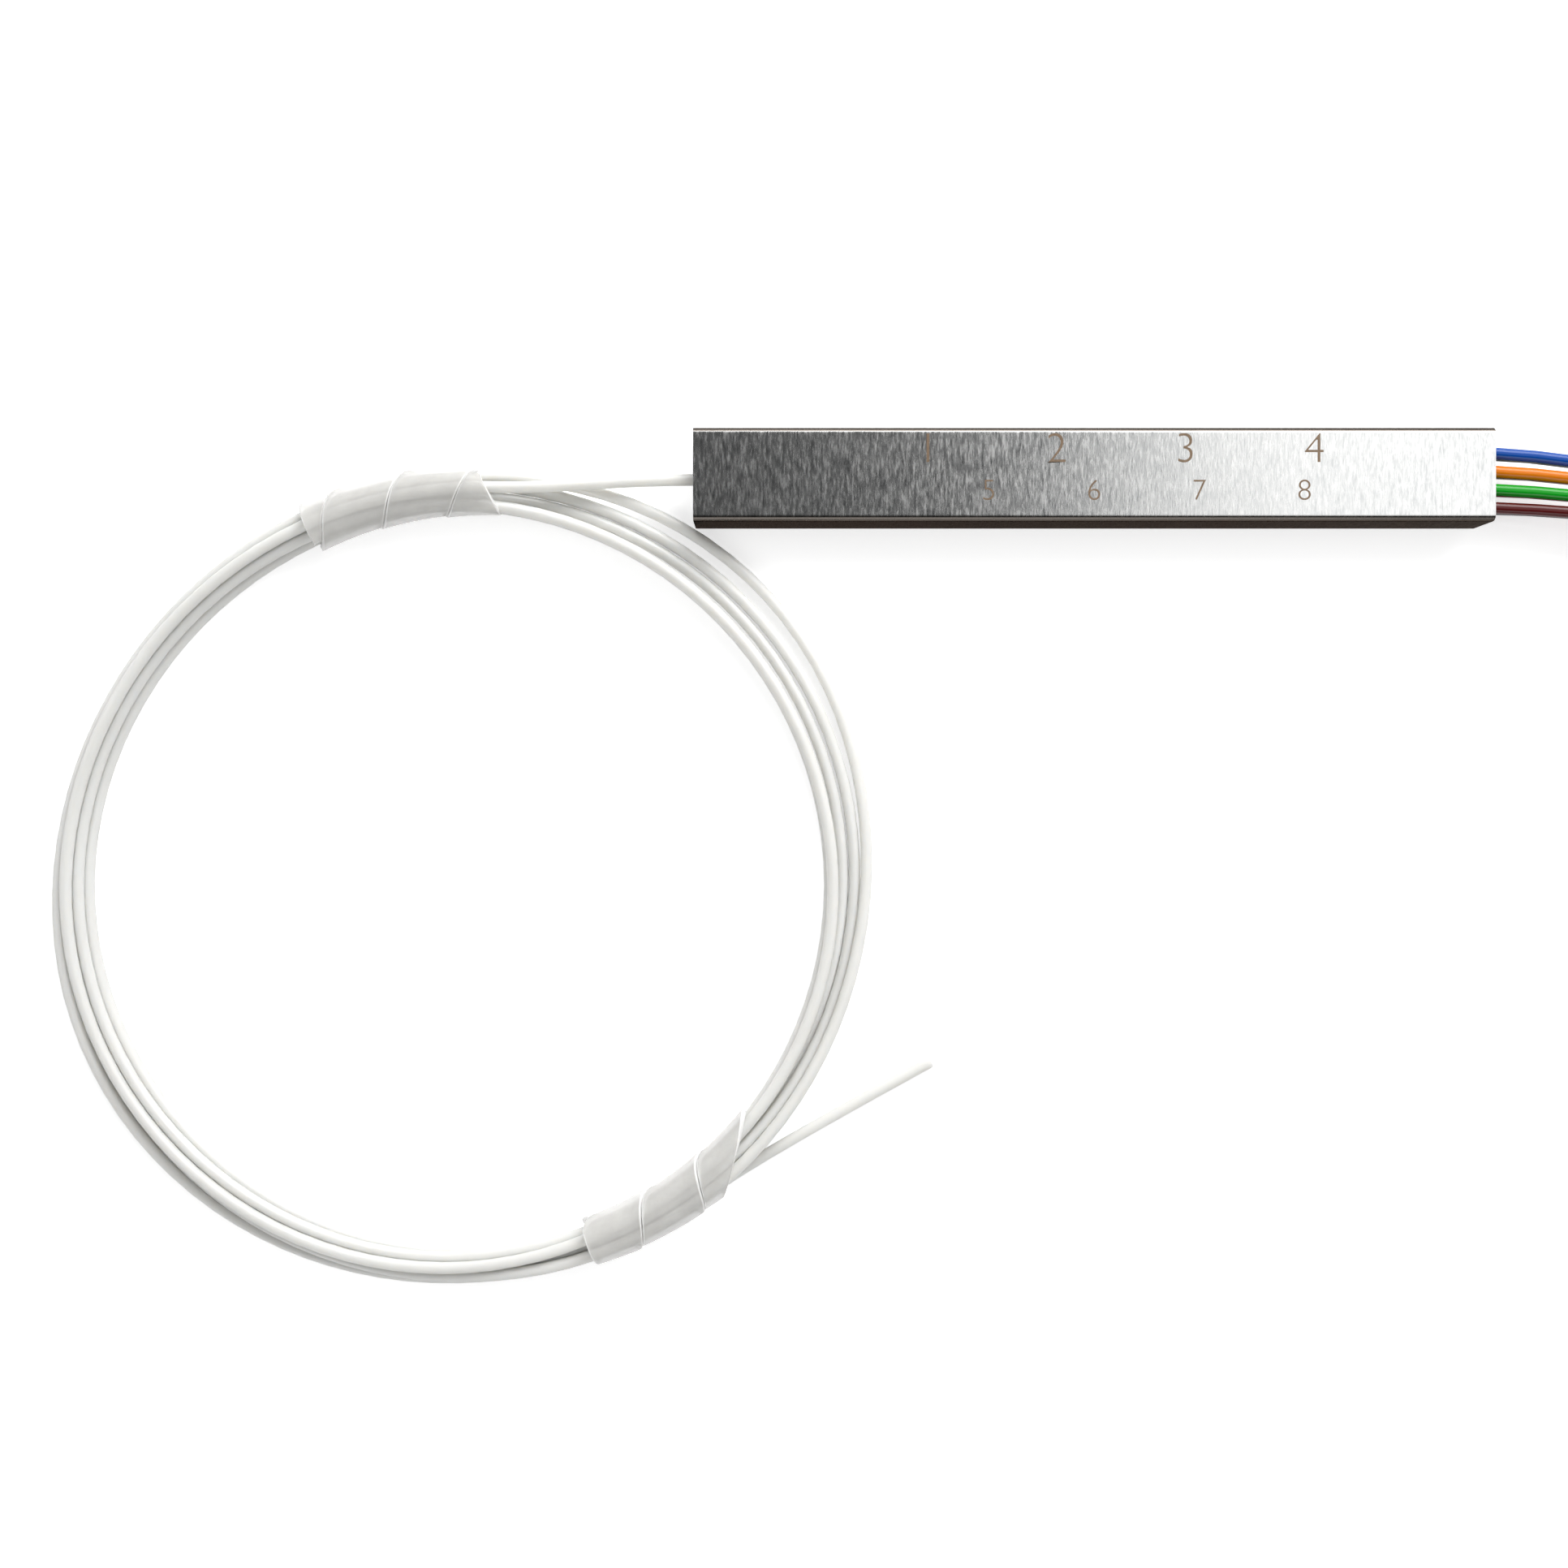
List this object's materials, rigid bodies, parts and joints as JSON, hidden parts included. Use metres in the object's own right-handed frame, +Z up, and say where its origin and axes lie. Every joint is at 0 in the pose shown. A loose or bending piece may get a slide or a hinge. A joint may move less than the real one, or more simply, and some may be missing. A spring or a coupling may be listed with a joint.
{
  "type": "plc fibre splitter",
  "caption": "Planar optical splitter: flat steel tube over a glass chip and fibre arrays, with an input tube and coloured output tubes whose spare lengths are coiled in spiral wraps.",
  "frame": {"origin": "middle of the housing's underside", "axes": "+X from the single input to the outputs, +Y across the housing, +Z up, away from the surface it lies on"},
  "size_m": [0.1815, 0.0687, 0.009],
  "materials": {
    "steel": "satin, fine grain across the width",
    "plug_resin": "cured black resin",
    "silica_chip": "polished silica",
    "array_glass": "polished borosilicate",
    "glue": "clear cured adhesive",
    "bed_rubber": "soft silicone",
    "fibre_clear": "clear coated fibre",
    "tube_natural": "milky translucent tube",
    "wrap_plastic": "milky translucent polyethylene",
    "tube_bundle": "eight coloured tubes side by side",
    "tube_blue": "glossy tube",
    "coat_blue": "coloured acrylate coat",
    "tube_orange": "glossy tube",
    "coat_orange": "coloured acrylate coat",
    "tube_green": "glossy tube",
    "coat_green": "coloured acrylate coat",
    "tube_brown": "glossy tube",
    "coat_brown": "coloured acrylate coat",
    "tube_slate": "glossy tube",
    "coat_slate": "coloured acrylate coat",
    "tube_white": "glossy tube",
    "coat_white": "coloured acrylate coat",
    "tube_red": "glossy tube",
    "coat_red": "coloured acrylate coat",
    "tube_black": "glossy tube",
    "coat_black": "coloured acrylate coat"
  },
  "bodies": {
    "root": {"housing_tube": "steel", "input_end_plug": "plug_resin", "output_end_plug": "plug_resin", "splitter_chip": "silica_chip", "chip_lid": "silica_chip", "input_array_base": "array_glass", "input_array_lid": "array_glass", "output_array_base": "array_glass", "output_array_lid": "array_glass", "input_bead": "glue", "output_bead": "glue", "chip_bed": "bed_rubber", "input_fibre": "fibre_clear", "output_fibre_blue": "coat_blue", "output_fibre_orange": "coat_orange", "output_fibre_green": "coat_green", "output_fibre_brown": "coat_brown", "output_fibre_slate": "coat_slate", "output_fibre_white": "coat_white", "output_fibre_red": "coat_red", "output_fibre_black": "coat_black", "input_lead": "tube_natural", "input_coil": "tube_natural", "input_tail": "tube_natural", "input_wrap_top": "wrap_plastic", "input_wrap_bottom": "wrap_plastic", "output_lead_blue": "tube_blue", "output_lead_orange": "tube_orange", "output_lead_green": "tube_green", "output_lead_brown": "tube_brown", "output_lead_slate": "tube_slate", "output_lead_white": "tube_white", "output_lead_red": "tube_red", "output_lead_black": "tube_black", "output_coil": "tube_bundle", "output_tail_blue": "tube_blue", "output_tail_orange": "tube_orange", "output_tail_green": "tube_green", "output_tail_brown": "tube_brown", "output_tail_slate": "tube_slate", "output_tail_white": "tube_white", "output_tail_red": "tube_red", "output_tail_black": "tube_black", "output_wrap_near": "wrap_plastic", "output_wrap_far": "wrap_plastic"}
  },
  "joints": []
}
